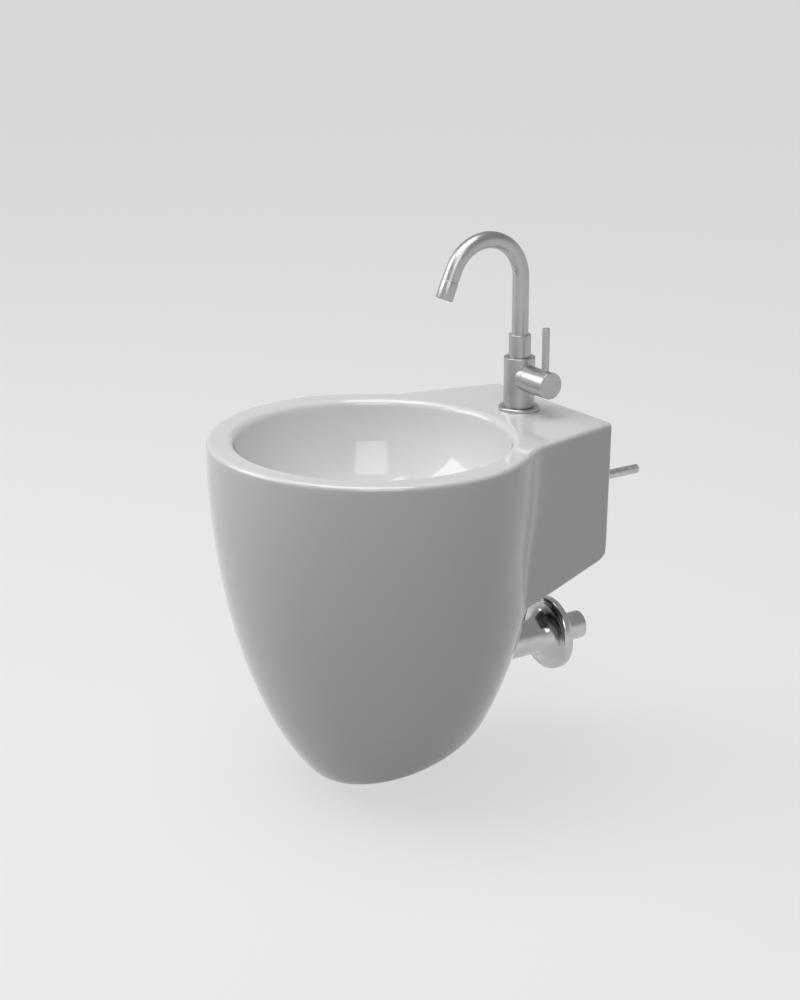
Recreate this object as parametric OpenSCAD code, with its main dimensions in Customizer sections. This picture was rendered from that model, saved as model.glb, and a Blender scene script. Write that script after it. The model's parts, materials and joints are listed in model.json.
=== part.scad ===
// Wall-hung hand basin: an egg-shaped ceramic bowl with a tapered tap ledge,
// a swivel-spout tap with a side lever, a strainer waste, a bottle trap and
// the wall fixings. Millimetres. The wall is the plane y = 0, the user stands
// on the -y side, and the origin lies midway between the two wall bolts.

/* [Basin] */
// Outer diameter of the round rim
bowl_d = 360; // [350:1:400]
// Depth at which the egg's curve would close to a point
egg_depth = 410; // [395:1:440]
// Distance from the wall to the back of the round rim
wall_gap = 56; // [50:1:70]
// Thickness of the ceramic walls
ceramic_t = 9; // [7:0.5:11]
// Thickness of the rim and of the tap ledge
rim_t = 12; // [9:0.5:15]
// Width of the ring between the bowl's mouth and the outer edge
rim_w = 34.5; // [28:0.5:42]
// Radius on the outer and inner edges of the rim
rim_round = 5; // [3:0.5:7]
// How far the bowl's mouth lies in front of the rim's centre
bowl_forward = 6; // [0:1:10]
// Depth of the bowl below the rim
bowl_depth = 130; // [115:1:145]
// Fullness of the bowl's curve, 2 being an ellipse
bowl_fullness = 2.3; // [2:0.1:3]

/* [Tap ledge] */
// Width of the ledge at the wall
ledge_w = 200; // [188:1:206]
// Angle at which each side of the ledge opens towards the bowl
ledge_taper = 12.6; // [10:0.1:15]
// Height of the ledge block at the wall
ledge_h = 153; // [142:1:162]
// Angle at which the underside of the block rises to the wall
ledge_rise = 11; // [6:0.5:14]
// Radius of the block's lower corner at the wall
ledge_round = 14; // [8:1:18]
// Thickness of the back wall that the bolts pass through
back_t = 12; // [9:0.5:16]

/* [Lower end] */
// Distance from the rim down to the end face, on the bowl's axis
end_drop = 354; // [346:1:360]
// Tilt of the end face, rising towards the wall
end_tilt = 17.5; // [12:0.5:20]
// Clearance round the trap cup in the end face
end_hole_gap = 7; // [4:0.5:12]
// Width of the slot for the outlet pipe in the back of the egg
slot_w = 60; // [54:1:72]

/* [Wall fixings] */
// Distance between the two wall bolts
bolt_spacing = 140; // [120:1:150]
// Distance from the rim down to the wall bolts
bolt_drop = 70; // [62:1:85]
// Diameter of the wall bolts
bolt_d = 10; // [8:1:12]
// Length of bolt that goes into the wall
bolt_in_wall = 60; // [50:1:80]
// Length of bolt that stands clear past the nut
bolt_end = 6; // [3:1:12]
// Diameter of the bolt holes in the ceramic
bolt_hole_d = 16; // [15:0.5:18]
// Wall of the plastic sleeve round each bolt
sleeve_t = 2.6; // [2:0.1:2.8]
// Diameter of the sleeve's flange
sleeve_flange_d = 30; // [26:1:34]
// Thickness of the sleeve's flange
sleeve_flange_t = 3; // [2:0.5:5]
// Diameter of the steel washer
washer_d = 27; // [24:1:30]
// Thickness of the steel washer
washer_t = 2; // [1.5:0.5:3]
// Width of the nut across its flats
nut_af = 17; // [15:1:19]
// Height of the nut
nut_h = 8; // [6:1:10]

/* [Waste] */
// Diameter of the drain hole in the ceramic
drain_d = 46; // [44:1:50]
// Diameter of the visible strainer plate
strainer_d = 62; // [58:1:68]
// Thickness of the strainer plate
strainer_t = 2.5; // [2:0.5:4]
// Depth of the recess that the strainer plate lies in
seat_depth = 3; // [2.5:0.5:5]
// Thickness of the ceramic round the drain
drain_t = 14; // [12:1:18]
// Thickness of the rubber ring above the ceramic
upper_seal_t = 1.5; // [1:0.5:2]
// Thickness of the rubber ring below the ceramic
lower_seal_t = 4; // [3:0.5:6]
// Outer diameter of the waste tail's thread
tail_d = 41.9; // [38:0.1:44]
// Length of the waste tail below its flange
tail_l = 50; // [42:1:58]
// Wall of the waste tail
tail_wall = 3.5; // [3:0.5:4.5]
// Diameter of the waste screw
waste_screw_d = 6; // [5:1:8]
// Number of slots in the strainer plate
strainer_slots = 10; // [6:1:12]

/* [Trap] */
// Diameter of the inlet and outlet pipes
pipe_d = 32; // [30:1:34]
// Wall of the pipes
pipe_wall = 1.5; // [1:0.5:2]
// Distance from the rim down to the outlet pipe's axis
outlet_drop = 270; // [266:1:276]
// Depth of the water seal in the trap
water_seal = 50; // [45:1:55]
// Outer diameter of the trap body and its cup
trap_d = 62; // [58:1:66]
// Wall of the trap body and its cup
trap_wall = 3; // [2.5:0.5:4]
// Height of the trap head above the outlet pipe's axis
trap_head = 26; // [24:1:30]
// Height of the trap body below the outlet pipe's axis
trap_foot = 30; // [26:1:34]
// Room under the end of the dip tube
dip_room = 29; // [22:1:34]
// Diameter of the drain plug's head
plug_d = 20; // [16:1:24]
// Height of the drain plug's head
plug_h = 20; // [8:1:24]
// Length of the outlet pipe beyond the wall's face
pipe_in_wall = 40; // [30:1:60]
// Diameter of the wall rosette
rosette_d = 84; // [76:1:92]
// Thickness of the rosette's edge
rosette_t = 11; // [6:1:14]
// Outer diameter of the rosette's long neck
neck_d = 40; // [38:0.5:44]
// Distance that the rosette's neck reaches from the wall
neck_l = 112; // [90:1:118]

/* [Tap] */
// Distance from the wall to the tap's axis
tap_setback = 50; // [46:1:62]
// Diameter of the tap hole in the ledge
tap_hole_d = 35; // [33:1:36]
// Diameter of the tap's base ring
base_d = 45; // [42:1:52]
// Thickness of the base ring
base_t = 3; // [2:0.5:5]
// Thickness of the rubber ring under the base ring
base_seal_t = 0.8; // [0.5:0.1:1.5]
// Diameter of the tap's body
body_d = 34; // [32:1:40]
// Height of the body's top above the ledge
body_top = 58.8; // [56:0.1:66]
// Diameter of the collar that carries the spout
collar_d = 24; // [23:0.5:30]
// Height of the collar above the body
collar_h = 24.8; // [23:0.1:32]
// Outer diameter of the spout tube
spout_d = 18; // [16:0.5:20]
// Wall of the spout tube
spout_wall = 2; // [1.5:0.5:2.5]
// Height above the ledge at which the spout starts to bend
bend_z = 145; // [120:1:180]
// Radius of the spout's bend
bend_r = 46.7; // [40:0.1:60]
// Angle that the spout turns through
bend_sweep = 157; // [140:1:175]
// Straight end of the spout before the aerator
spout_end = 11; // [8:1:24]
// Diameter of the aerator
aerator_d = 18.8; // [18:0.1:22]
// Length of the aerator
aerator_l = 20; // [16:1:26]
// Number of small holes in the aerator's ring
aerator_holes = 8; // [6:1:10]
// Outer diameter of the threaded shank
shank_d = 24; // [23:0.1:26]
// Bore of the threaded shank
shank_bore = 12; // [10:0.5:14]
// Length of thread left below the lock nut, above the inlet
shank_spare = 6.5; // [4:0.5:14]
// Outer diameter of the inlet thread at the shank's lower end
inlet_d = 20.9; // [19:0.1:21.5]
// Length of the inlet thread
inlet_l = 25; // [18:1:30]
// Thickness of the rubber washer under the ledge
grip_t = 3; // [2:0.5:5]
// Thickness of the clamp plate under the rubber washer
plate_t = 2.5; // [2:0.5:4]
// Diameter of the rubber washer and the clamp plate
plate_d = 44; // [42:1:50]
// Width of the tap's lock nut across its flats
lock_af = 32; // [30:1:36]
// Height of the tap's lock nut
lock_h = 9; // [7:1:12]

/* [Lever] */
// Height of the lever's turning axis above the ledge
lever_z = 37; // [34:1:40]
// Diameter of the side cylinder and its hub
hub_d = 29; // [28:0.5:30]
// Distance from the body's surface to the joint between side cylinder and hub
hub_step = 2; // [1.5:0.1:4]
// Length of the turning hub
hub_l = 36; // [34:1:44]
// Diameter of the lever pin
lever_d = 8; // [6:0.5:9]
// Length of the lever pin above the hub
lever_l = 47; // [36:1:60]
// Distance of the lever pin from the hub's end face
lever_inset = 10; // [7:0.5:12]
// Diameter of the valve spindle
spindle_d = 8; // [7:0.5:9]
// Diameter of the ceramic sealing discs
disc_d = 14.8; // [14:0.1:15.2]
// Thickness of each ceramic disc
disc_t = 2.5; // [2:0.1:3]

/* [Hidden] */
$fn = 96;

// Gap between a thread and its nut, and round a seated piece
fit_gap = 0.1;
// Gap of a running fit, measured on the radius
run_gap = 0.05;
// Gap between flat faces that turn on each other
face_gap = 0.3;
// Overreach of a cut past the face that it opens
cut = 1;

// Places in the basin's frame
wall_reach = bowl_d / 2 + wall_gap;
rim_z = bolt_drop;
rim_y = -wall_reach;
bowl_y = rim_y - bowl_forward;
tap_y = -tap_setback;
outlet_z = rim_z - outlet_drop;
mouth_r = bowl_d / 2 - rim_w;
// Gap round the strainer plate in its recess
seat_gap = 1;

// The egg's outline is an ellipse and the bowl's a fuller curve
function egg_r(depth, r, h) = r * sqrt(max(0, 1 - pow(depth / h, 2)));
function bowl_r(depth, r, h) = r * pow(max(0, 1 - pow(depth / h, bowl_fullness)), 1 / bowl_fullness);
function arc(cx, cy, r, from, to, steps) =
    [for (i = [0:steps]) let (a = from + (to - from) * i / steps) [cx + r * cos(a), cy + r * sin(a)]];
egg_steps = 14;
bowl_steps = 13;
edge_steps = 5;
// Radius of the blunt tip is what the egg still has this far above its closing point
tip_cut = 1;
// How far the ledge block runs into the egg, as a share of the bowl's distance from the wall
ledge_run = 0.72;

module hex_prism(af, h) {
    cylinder(d = af / cos(30), h = h, $fn = 6);
}

module tube(outer, inner, h) {
    difference() {
        cylinder(d = outer, h = h);
        translate([0, 0, -cut]) cylinder(d = inner, h = h + 2 * cut);
    }
}

// Turns a solid drawn along +z so that it points along +y or +x
module along_y() { rotate([-90, 0, 0]) children(); }
module along_x() { rotate([0, 90, 0]) children(); }

// Basin: egg, tap ledge block, bowl and the hollow between them

// Solid egg of rim radius r and full depth h, cut off by the tilted end face
module egg(r, h, top, end_inset, round_r) {
    start = max(-top, round_r);
    low = h - tip_cut;
    side = [for (i = [0:egg_steps])
        let (a = 90 * i / egg_steps, depth = start + (low - start) * sin(a)) [egg_r(depth, r, h), -depth]];
    // The rounded edge stops one step short, where the side begins
    crown = round_r > 0
        ? arc(r - round_r, top - round_r, round_r, 90, 90 / edge_steps, edge_steps - 1)
        : [[egg_r(-top, r, h), top]];
    block = 3 * r;
    difference() {
        rotate_extrude() polygon(concat([[0, top]], crown, side, [[0, -low]]));
        translate([0, 0, -end_drop]) rotate([end_tilt, 0, 0])
            translate([-block / 2, -block / 2, end_inset - block]) cube(block);
    }
}

// Plan of the ledge block, drawn inwards by inset on its sides
module ledge_plan(inset, back) {
    front = wall_reach * ledge_run;
    half = ledge_w / 2 - inset / cos(ledge_taper);
    spread = tan(ledge_taper);
    polygon([[half + back * spread, -back], [half + front * spread, -front],
             [-half - front * spread, -front], [-half - back * spread, -back]]);
}

// Block under the ledge, with its rising underside
module ledge_block(inset, back, top, below, round_r) {
    slope = tan(ledge_rise);
    low = rim_z - ledge_h - below;
    corner = round_r > 0
        ? arc(-round_r, low - round_r * slope + round_r / cos(ledge_rise), round_r, 0, ledge_rise - 90, edge_steps)
        : [[0, low]];
    intersection() {
        translate([0, 0, rim_z - ledge_h - wall_reach])
            linear_extrude(ledge_h + wall_reach - top) ledge_plan(inset, back);
        rotate([90, 0, 90])
            linear_extrude(2 * bowl_d, center = true)
                polygon(concat([[0, rim_z]], corner,
                               [[-wall_reach, low - wall_reach * slope], [-wall_reach, rim_z]]));
    }
}

module bowl_form(r, h) {
    side = [for (i = [0:bowl_steps])
        let (a = 90 * i / bowl_steps, depth = h * sin(a)) [bowl_r(depth, r, h), -depth]];
    rotate_extrude() polygon(concat([[0, cut], [r, cut]], side));
}

// Inner edge of the rim, rounded over into the bowl
module mouth_round() {
    edge = arc(mouth_r + rim_round, -rim_round, rim_round, 90, 180, edge_steps);
    rotate_extrude()
        polygon(concat([[0, cut], [mouth_r + rim_round, cut]], edge, [[0, -rim_round]]));
}

// Everything inside the ceramic walls: the egg's hollow and the block's, open below
module hollow() {
    t = ceramic_t;
    translate([0, rim_y, rim_z]) egg(bowl_d / 2 - t, egg_depth - t, -rim_t, t, 0);
    ledge_block(t, back_t, rim_t, cut, 0);
}

module basin_body() {
    t = ceramic_t;
    end_reach = 4 * t;
    color("whitesmoke") difference() {
        union() {
            translate([0, rim_y, rim_z]) egg(bowl_d / 2, egg_depth, 0, 0, rim_round);
            ledge_block(0, 0, 0, 0, ledge_round);
        }
        difference() {
            hollow();
            translate([0, bowl_y, rim_z]) {
                bowl_form(mouth_r + t, bowl_depth + t);
                translate([0, 0, -bowl_depth - drain_t])
                    cylinder(d = strainer_d + 2 * t, h = drain_t);
            }
        }
        translate([0, bowl_y, rim_z]) {
            bowl_form(mouth_r, bowl_depth);
            mouth_round();
            translate([0, 0, -bowl_depth - seat_depth])
                cylinder(d = strainer_d + 2 * seat_gap, h = 2 * seat_depth + cut);
            translate([0, 0, -bowl_depth - drain_t - cut]) cylinder(d = drain_d, h = drain_t + cut);
        }
        translate([0, tap_y, rim_z - rim_t - cut]) cylinder(d = tap_hole_d, h = rim_t + 2 * cut);
        for (side = [-1, 1])
            translate([side * bolt_spacing / 2, -back_t - cut, 0])
                along_y() cylinder(d = bolt_hole_d, h = back_t + 2 * cut);
        pipe_slot();
        translate([0, bowl_y, rim_z - end_drop - end_reach])
            cylinder(d = trap_d + 2 * end_hole_gap, h = 2 * end_reach);
    }
}

// Slot in the back of the egg, open upwards to the space under the ledge
module pipe_slot() {
    top = rim_z - ledge_h;
    translate([0, rim_y, outlet_z]) along_y() cylinder(d = slot_w, h = wall_reach - back_t);
    translate([-slot_w / 2, rim_y, outlet_z]) cube([slot_w, wall_reach - back_t, top - outlet_z]);
}

// Wall fixings: one of each per side

module at_bolts() {
    for (side = [-1, 1]) translate([side * bolt_spacing / 2, 0, 0]) along_y() children();
}

sleeve_inner = bolt_d + 2 * fit_gap;
sleeve_outer = min(bolt_hole_d - 2 * fit_gap, sleeve_inner + 2 * sleeve_t);
stack_washer = -back_t - sleeve_flange_t - washer_t;
stack_nut = stack_washer - nut_h;

// A shallow groove at the wall's face marks how far bolts and waste pipe go in
mark_w = 1;
mark_depth = 0.4;

module wall_bolts() {
    color("silver") at_bolts() difference() {
        translate([0, 0, stack_nut - bolt_end])
            cylinder(d = bolt_d, h = bolt_in_wall + bolt_end - stack_nut);
        tube(bolt_d + cut, bolt_d - 2 * mark_depth, mark_w);
    }
}

module bolt_sleeves() {
    color("white") at_bolts() difference() {
        union() {
            translate([0, 0, -back_t]) cylinder(d = sleeve_outer, h = back_t);
            translate([0, 0, -back_t - sleeve_flange_t]) cylinder(d = sleeve_flange_d, h = sleeve_flange_t);
        }
        translate([0, 0, -back_t - sleeve_flange_t - cut])
            cylinder(d = sleeve_inner, h = back_t + sleeve_flange_t + 2 * cut);
    }
}

module bolt_washers() {
    color("silver") at_bolts()
        translate([0, 0, stack_washer]) tube(washer_d, bolt_d + 2 * fit_gap, washer_t);
}

module bolt_nuts() {
    color("silver") at_bolts() translate([0, 0, stack_nut]) difference() {
        hex_prism(nut_af, nut_h);
        translate([0, 0, -cut]) cylinder(d = bolt_d + 2 * fit_gap, h = nut_h + 2 * cut);
    }
}

// Waste: the strainer plate and the tail are drawn together by one screw

seat_z = -bowl_depth - seat_depth;
plate_z = seat_z + upper_seal_t;
drain_under = -bowl_depth - drain_t;
tail_top = drain_under - lower_seal_t;
tail_flange_t = 3;
tail_flange_d = strainer_d + 2;
tail_bore = tail_d - 2 * tail_wall;
tail_end = tail_top - tail_flange_t - tail_l;
skirt_d = drain_d - 4;
skirt_wall = 2;
skirt_h = drain_t - seat_depth - 1;
bar_w = waste_screw_d + 6;
bar_t = 8;
bar_z = tail_top - tail_flange_t - bar_t;
screw_head_d = waste_screw_d + 4.4;
screw_head_t = 1.8;
screw_sink = 1.2;
screw_end = 4;
boss_d = waste_screw_d + 5;
boss_h = 4;

module at_bowl() { translate([0, bowl_y, rim_z]) children(); }

module strainer_plate() {
    slot_r = 1.6;
    slot_in = boss_d / 2 + slot_r + 1;
    slot_out = skirt_d / 2 - skirt_wall - slot_r - 1;
    color("silver") at_bowl() translate([0, 0, plate_z]) difference() {
        union() {
            cylinder(d = strainer_d, h = strainer_t);
            translate([0, 0, -skirt_h]) tube(skirt_d, skirt_d - 2 * skirt_wall, skirt_h);
            translate([0, 0, -boss_h]) cylinder(d = boss_d, h = boss_h + strainer_t);
        }
        translate([0, 0, -boss_h - cut])
            cylinder(d = waste_screw_d + 2 * fit_gap, h = boss_h + strainer_t + 2 * cut);
        translate([0, 0, strainer_t - screw_sink])
            cylinder(d = screw_head_d + 2 * fit_gap, h = screw_sink + cut);
        for (i = [0:strainer_slots - 1]) rotate(i * 360 / strainer_slots) {
            translate([slot_in, -slot_r, -cut])
                cube([slot_out - slot_in, 2 * slot_r, strainer_t + 2 * cut]);
            for (x = [slot_in, slot_out])
                translate([x, 0, -cut]) cylinder(r = slot_r, h = strainer_t + 2 * cut, $fn = 24);
        }
    }
}

module waste_screw() {
    under_head = plate_z + strainer_t - screw_sink;
    slot_w = 1.2;
    slot_h = 1;
    color("silver") at_bowl() difference() {
        union() {
            translate([0, 0, under_head]) cylinder(d = screw_head_d, h = screw_head_t);
            translate([0, 0, bar_z - screw_end])
                cylinder(d = waste_screw_d, h = under_head - bar_z + screw_end);
        }
        translate([-screw_head_d, -slot_w / 2, under_head + screw_head_t - slot_h])
            cube([2 * screw_head_d, slot_w, slot_h + cut]);
    }
}

module waste_upper_seal() {
    color("dimgray") at_bowl() translate([0, 0, seat_z]) tube(strainer_d - 2, drain_d, upper_seal_t);
}

module waste_lower_seal() {
    color("dimgray") at_bowl() translate([0, 0, tail_top]) tube(strainer_d, drain_d, lower_seal_t);
}

module waste_tail() {
    color("silver") at_bowl() {
        difference() {
            union() {
                translate([0, 0, tail_top - tail_flange_t]) cylinder(d = tail_flange_d, h = tail_flange_t);
                translate([0, 0, tail_end]) cylinder(d = tail_d, h = tail_l + tail_flange_t);
            }
            translate([0, 0, tail_end - cut]) cylinder(d = tail_bore, h = tail_l + tail_flange_t + 2 * cut);
        }
        difference() {
            intersection() {
                translate([-tail_d / 2, -bar_w / 2, bar_z]) cube([tail_d, bar_w, bar_t]);
                translate([0, 0, bar_z - cut]) cylinder(d = tail_d - tail_wall, h = bar_t + 2 * cut);
            }
            translate([0, 0, bar_z - cut]) cylinder(d = waste_screw_d + 2 * fit_gap, h = bar_t + 2 * cut);
        }
    }
}

// Trap: a dip tube hangs in a bottle whose lower half unscrews

joint_seal_t = 2.5;
dip_flange_t = 2;
dip_flange_d = tail_d - 1;
nut_floor_t = 3;
inlet_nut_h = 18;
nut_wall = 4.5;
inlet_nut_d = tail_d + 2 * nut_wall;
dip_top = tail_end - joint_seal_t;
pipe_bore = pipe_d - 2 * pipe_wall;
pipe_fit = pipe_d + 2 * fit_gap;
dip_end = -outlet_drop - pipe_bore / 2 - water_seal;
head_z = -outlet_drop + trap_head;
neck_h = 14;
neck_wall = 6;
neck_outer = pipe_d + 2 * neck_wall;
head_nut_d = neck_outer + 8;
foot_z = -outlet_drop - trap_foot;
thread_h = 12;
thread_r = trap_d / 2 - trap_wall;
cup_floor = dip_end - dip_room;
cup_end = cup_floor - trap_wall - 1;
cup_seal_t = 1.5;
plug_seal_t = 1;
plug_thread_d = plug_d - 6;
plug_fit = plug_thread_d + 2 * fit_gap;
stub_start = trap_d / 2 - trap_wall;
stub_socket = stub_start + 6;
stub_l = 18;
stub_end = trap_d / 2 + stub_l;
stub_d = pipe_d + 8;
outlet_nut_h = 16;
outlet_nut_af = stub_d + 7;

module trap_inlet_seal() {
    color("dimgray") at_bowl() translate([0, 0, dip_top]) tube(tail_d - 1, tail_bore, joint_seal_t);
}

module trap_inlet_tube() {
    color("silver") at_bowl() difference() {
        union() {
            translate([0, 0, dip_top - dip_flange_t]) cylinder(d = dip_flange_d, h = dip_flange_t);
            translate([0, 0, dip_end]) cylinder(d = pipe_d, h = dip_top - dip_end);
        }
        translate([0, 0, dip_end - cut]) cylinder(d = pipe_bore, h = dip_top - dip_end + 2 * cut);
    }
}

module trap_inlet_nut() {
    nut_z = dip_top - dip_flange_t - nut_floor_t;
    color("silver") at_bowl() difference() {
        translate([0, 0, nut_z]) hex_prism(inlet_nut_d, inlet_nut_h);
        translate([0, 0, nut_z + nut_floor_t]) cylinder(d = tail_d + 2 * fit_gap, h = inlet_nut_h);
        translate([0, 0, nut_z - cut]) cylinder(d = pipe_fit, h = inlet_nut_h);
    }
}

module trap_head_seal() {
    color("dimgray") at_bowl()
        translate([0, 0, head_z + neck_h]) tube(neck_outer - 1, pipe_fit, joint_seal_t);
}

module trap_head_nut() {
    ring_h = neck_h + joint_seal_t;
    grip_count = 12;
    grip_r = 1.2;
    color("silver") at_bowl() translate([0, 0, head_z + nut_floor_t]) difference() {
        cylinder(d = head_nut_d, h = ring_h);
        translate([0, 0, -cut]) cylinder(d = neck_outer + 2 * fit_gap, h = ring_h - nut_floor_t + cut);
        cylinder(d = pipe_fit, h = ring_h + cut);
        for (i = [0:grip_count - 1]) rotate(i * 360 / grip_count)
            translate([head_nut_d / 2, 0, -cut]) cylinder(r = grip_r, h = ring_h + 2 * cut, $fn = 24);
    }
}

module trap_body() {
    color("silver") at_bowl() difference() {
        union() {
            translate([0, 0, foot_z]) cylinder(d = trap_d, h = head_z - foot_z);
            translate([0, 0, head_z]) cylinder(d = neck_outer, h = neck_h);
            translate([0, 0, foot_z - thread_h]) cylinder(r = thread_r, h = thread_h);
            translate([0, 0, -outlet_drop]) along_y() cylinder(d = stub_d, h = stub_end);
        }
        translate([0, 0, foot_z - thread_h - cut])
            cylinder(r = thread_r - trap_wall, h = head_z - foot_z + thread_h - trap_wall + cut);
        translate([0, 0, head_z - trap_wall - cut]) cylinder(d = pipe_fit, h = neck_h + trap_wall + 2 * cut);
        translate([0, 0, -outlet_drop]) along_y() cylinder(d = pipe_bore, h = stub_end + cut);
        translate([0, stub_socket, -outlet_drop]) along_y() cylinder(d = pipe_fit, h = stub_end);
    }
}

module trap_cup_seal() {
    color("dimgray") at_bowl()
        translate([0, 0, foot_z - cup_seal_t]) tube(trap_d - 1, 2 * thread_r + 2 * fit_gap, cup_seal_t);
}

module trap_cup() {
    cup_top = foot_z - cup_seal_t;
    color("silver") at_bowl() difference() {
        translate([0, 0, cup_end]) cylinder(d = trap_d, h = cup_top - cup_end);
        translate([0, 0, cup_top - thread_h]) cylinder(r = thread_r + fit_gap, h = thread_h + cut);
        translate([0, 0, cup_floor]) cylinder(r = thread_r - fit_gap, h = cup_top - cup_floor);
        translate([0, 0, cup_end - cut]) cylinder(d = plug_fit, h = cup_floor - cup_end + 2 * cut);
    }
}

module drain_plug_seal() {
    color("dimgray") at_bowl() translate([0, 0, cup_end - plug_seal_t])
        tube(plug_d - 1, plug_fit, plug_seal_t);
}

module drain_plug() {
    top = cup_end - plug_seal_t;
    grip_count = 8;
    grip_r = 1.6;
    color("silver") at_bowl() translate([0, 0, top]) {
        difference() {
            translate([0, 0, -plug_h]) cylinder(d = plug_d, h = plug_h);
            for (i = [0:grip_count - 1]) rotate(i * 360 / grip_count)
                translate([plug_d / 2 + grip_r / 2, 0, -plug_h - cut])
                    cylinder(r = grip_r, h = plug_h + 2 * cut, $fn = 24);
        }
        cylinder(d = plug_thread_d, h = cup_floor - top);
    }
}

module at_outlet() { translate([0, bowl_y, outlet_z]) along_y() children(); }

module trap_outlet_seal() {
    color("dimgray") at_outlet() translate([0, 0, stub_end])
        tube(stub_d - 1, pipe_fit, joint_seal_t);
}

module trap_outlet_nut() {
    nut_end = stub_end + joint_seal_t + nut_floor_t;
    color("silver") at_outlet() translate([0, 0, nut_end - outlet_nut_h]) difference() {
        hex_prism(outlet_nut_af, outlet_nut_h);
        translate([0, 0, -cut]) cylinder(d = stub_d + 2 * fit_gap, h = outlet_nut_h - nut_floor_t + cut);
        cylinder(d = pipe_fit, h = outlet_nut_h + cut);
    }
}

module outlet_pipe() {
    from = bowl_y + stub_socket + 1;
    color("silver") translate([0, from, outlet_z]) along_y() difference() {
        tube(pipe_d, pipe_bore, pipe_in_wall - from);
        translate([0, 0, -from]) tube(pipe_d + cut, pipe_d - 2 * mark_depth, mark_w);
    }
}

// Rosette with a long neck that slides over the outlet pipe
module wall_rosette() {
    edge_r = rosette_t / 3;
    flare_r = (rosette_d - neck_d) / 2 - edge_r;
    bore_r = pipe_fit / 2;
    flare = arc(neck_d / 2 + flare_r, rosette_t + flare_r, flare_r, 180, 270, 8);
    rim = arc(rosette_d / 2 - edge_r, rosette_t - edge_r, edge_r, 90, 0, 4);
    color("silver") translate([0, 0, outlet_z]) rotate([90, 0, 0]) rotate_extrude()
        polygon(concat([[bore_r, 0], [bore_r, neck_l], [neck_d / 2, neck_l]], flare, rim,
                       [[rosette_d / 2, 0]]));
}

// Tap: body on a base ring, held by a lock nut under the ledge

body_z = base_seal_t + base_t;
shank_in_body = 14;
shank_top = body_z + shank_in_body;
shank_fit = shank_d + 2 * fit_gap;
lock_z = -rim_t - grip_t - plate_t - lock_h;
inlet_top = lock_z - shank_spare;
collar_spigot_d = collar_d - 4;
collar_spigot_h = 8;
hub_start = body_d / 2 + hub_step;
hub_reach = hub_start + hub_l;
valve_wall = 1.1;
valve_d = disc_d + 2 * valve_wall;
valve_end = -6;
seat_seal_t = 1.2;
disc_x = valve_end + seat_seal_t;
port_x = disc_x + 2 * disc_t + 6;
port_d = 5;

module at_tap() { translate([0, tap_y, rim_z]) children(); }
module at_lever() { at_tap() translate([0, 0, lever_z]) along_x() children(); }

module tap_base_seal() {
    color("dimgray") at_tap() tube(base_d - 3, shank_fit, base_seal_t);
}

module tap_base_ring() {
    bevel = base_t / 3;
    color("silver") at_tap() translate([0, 0, base_seal_t]) rotate_extrude()
        polygon([[shank_fit / 2, 0], [base_d / 2, 0], [base_d / 2, base_t - bevel],
                 [base_d / 2 - bevel, base_t], [shank_fit / 2, base_t]]);
}

module tap_body() {
    way_d = 6.5;
    way_in = valve_end - way_d / 2 + 1;
    // Room above the shank, from which one side way leads up to the valve
    room_h = 4;
    color("silver") at_tap() difference() {
        union() {
            translate([0, 0, body_z]) cylinder(d = body_d, h = body_top - body_z);
            translate([0, 0, lever_z]) along_x() cylinder(d = hub_d, h = hub_start - face_gap);
        }
        translate([0, 0, body_z - cut]) cylinder(d = shank_fit, h = shank_in_body + room_h + cut);
        translate([0, 0, body_top - collar_spigot_h - fit_gap])
            cylinder(d = collar_spigot_d + 2 * fit_gap, h = collar_spigot_h + cut);
        translate([valve_end, 0, lever_z])
            along_x() cylinder(d = valve_d + 2 * fit_gap, h = hub_start + body_d);
        translate([way_in - way_d / 2, 0, lever_z]) along_x() cylinder(d = way_d, h = -way_in + way_d);
        translate([way_in, 0, shank_top]) cylinder(d = way_d, h = lever_z - shank_top);
        translate([port_x, 0, lever_z]) cylinder(d = way_d, h = body_top - collar_spigot_h - lever_z);
    }
}

module tap_shank() {
    low = inlet_top - inlet_l;
    color("goldenrod") at_tap() difference() {
        union() {
            translate([0, 0, inlet_top]) cylinder(d = shank_d, h = shank_top - inlet_top);
            translate([0, 0, low]) cylinder(d = inlet_d, h = inlet_l);
        }
        translate([0, 0, low - cut]) cylinder(d = shank_bore, h = shank_top - low + 2 * cut);
    }
}

module tap_grip_washer() {
    color("dimgray") at_tap() translate([0, 0, -rim_t - grip_t]) tube(plate_d, shank_fit, grip_t);
}

module tap_clamp_plate() {
    color("silver") at_tap() translate([0, 0, -rim_t - grip_t - plate_t]) tube(plate_d, shank_fit, plate_t);
}

module tap_lock_nut() {
    color("goldenrod") at_tap() translate([0, 0, lock_z]) difference() {
        hex_prism(lock_af, lock_h);
        translate([0, 0, -cut]) cylinder(d = shank_fit, h = lock_h + 2 * cut);
    }
}

// Valve in the side cylinder, drawn along its own axis from the tap's axis

shell_shoulder = hub_start - face_gap;
shoulder_t = 4;
spindle_bore = spindle_d + 2 * run_gap;
shell_neck_d = spindle_d + 6;
hub_solid = 22;
neck_end = hub_reach - hub_solid;
spindle_end = hub_reach - lever_inset - lever_d / 2 - 1;
web_start = neck_end + 1.5;
hub_wall = 2.5;
shoulder_d = hub_d - 2 * hub_wall - 2;
driver_x = disc_x + 2 * disc_t + 2 * run_gap;
driver_t = 3;
pin_thread_d = 5;
pin_x = hub_reach - lever_inset;
hub_screw_d = 4;
hub_screw_sink = 0.8;
screw_x = (web_start + spindle_end) / 2;

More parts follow.
